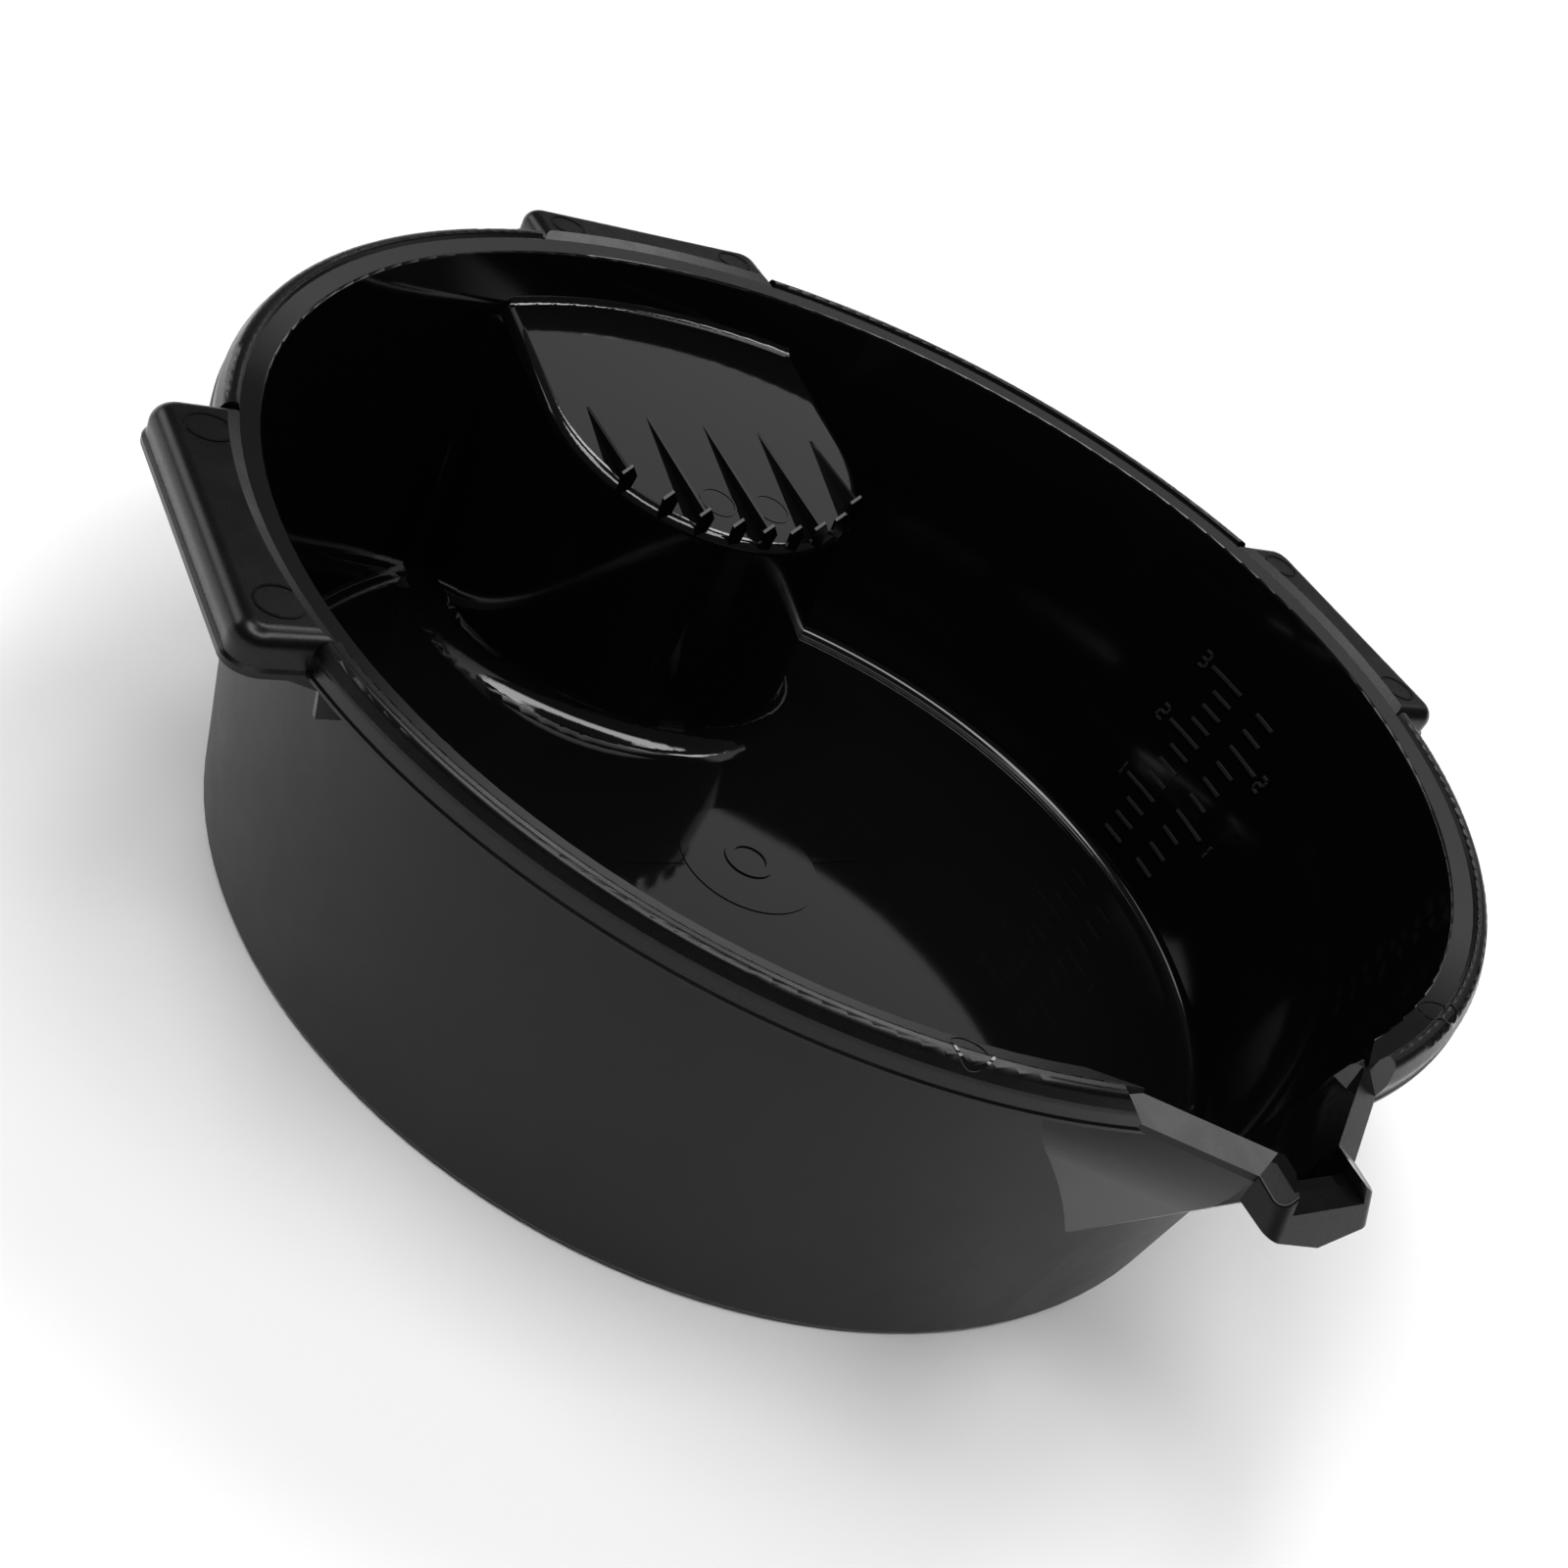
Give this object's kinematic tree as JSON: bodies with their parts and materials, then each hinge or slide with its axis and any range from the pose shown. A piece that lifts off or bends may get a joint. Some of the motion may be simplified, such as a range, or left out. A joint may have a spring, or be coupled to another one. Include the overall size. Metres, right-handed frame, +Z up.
{
  "type": "oil drain pan",
  "caption": "Round open oil drain pan with a rolled rim, grip lugs, a sloping pour spout, a ribbed shelf for draining a filter and a volume scale inside.",
  "frame": {"origin": "on the surface the pan stands on, under the middle of its footprint", "axes": "+X towards the pour spout, +Y to the side that carries the volume scale, +Z up out of the bowl"},
  "size_m": [0.5146, 0.497, 0.1488],
  "materials": {
    "pan_plastic": "black polypropylene, glossy inside and on the rim, satin with a fine moulded grain outside"
  },
  "bodies": {
    "root": {"ejector_marks": "pan_plastic", "filter_pedestal": "pan_plastic", "filter_shelf": "pan_plastic", "floor_centre_disc": "pan_plastic", "floor_flow_lines": "pan_plastic", "gate_ring": "pan_plastic", "grip_lug_left": "pan_plastic", "grip_lug_rear": "pan_plastic", "grip_lug_right": "pan_plastic", "lug_gussets": "pan_plastic", "pan_floor": "pan_plastic", "pan_wall": "pan_plastic", "rim_bead_front_left": "pan_plastic", "rim_bead_front_right": "pan_plastic", "rim_bead_rear_left": "pan_plastic", "rim_bead_rear_right": "pan_plastic", "scale_numerals": "pan_plastic", "scale_ticks_uk": "pan_plastic", "scale_ticks_us": "pan_plastic", "shelf_ribs": "pan_plastic", "shelf_spikes": "pan_plastic", "spout_flange_left": "pan_plastic", "spout_flange_right": "pan_plastic", "spout_lip": "pan_plastic", "spout_trough": "pan_plastic"}
  },
  "joints": []
}
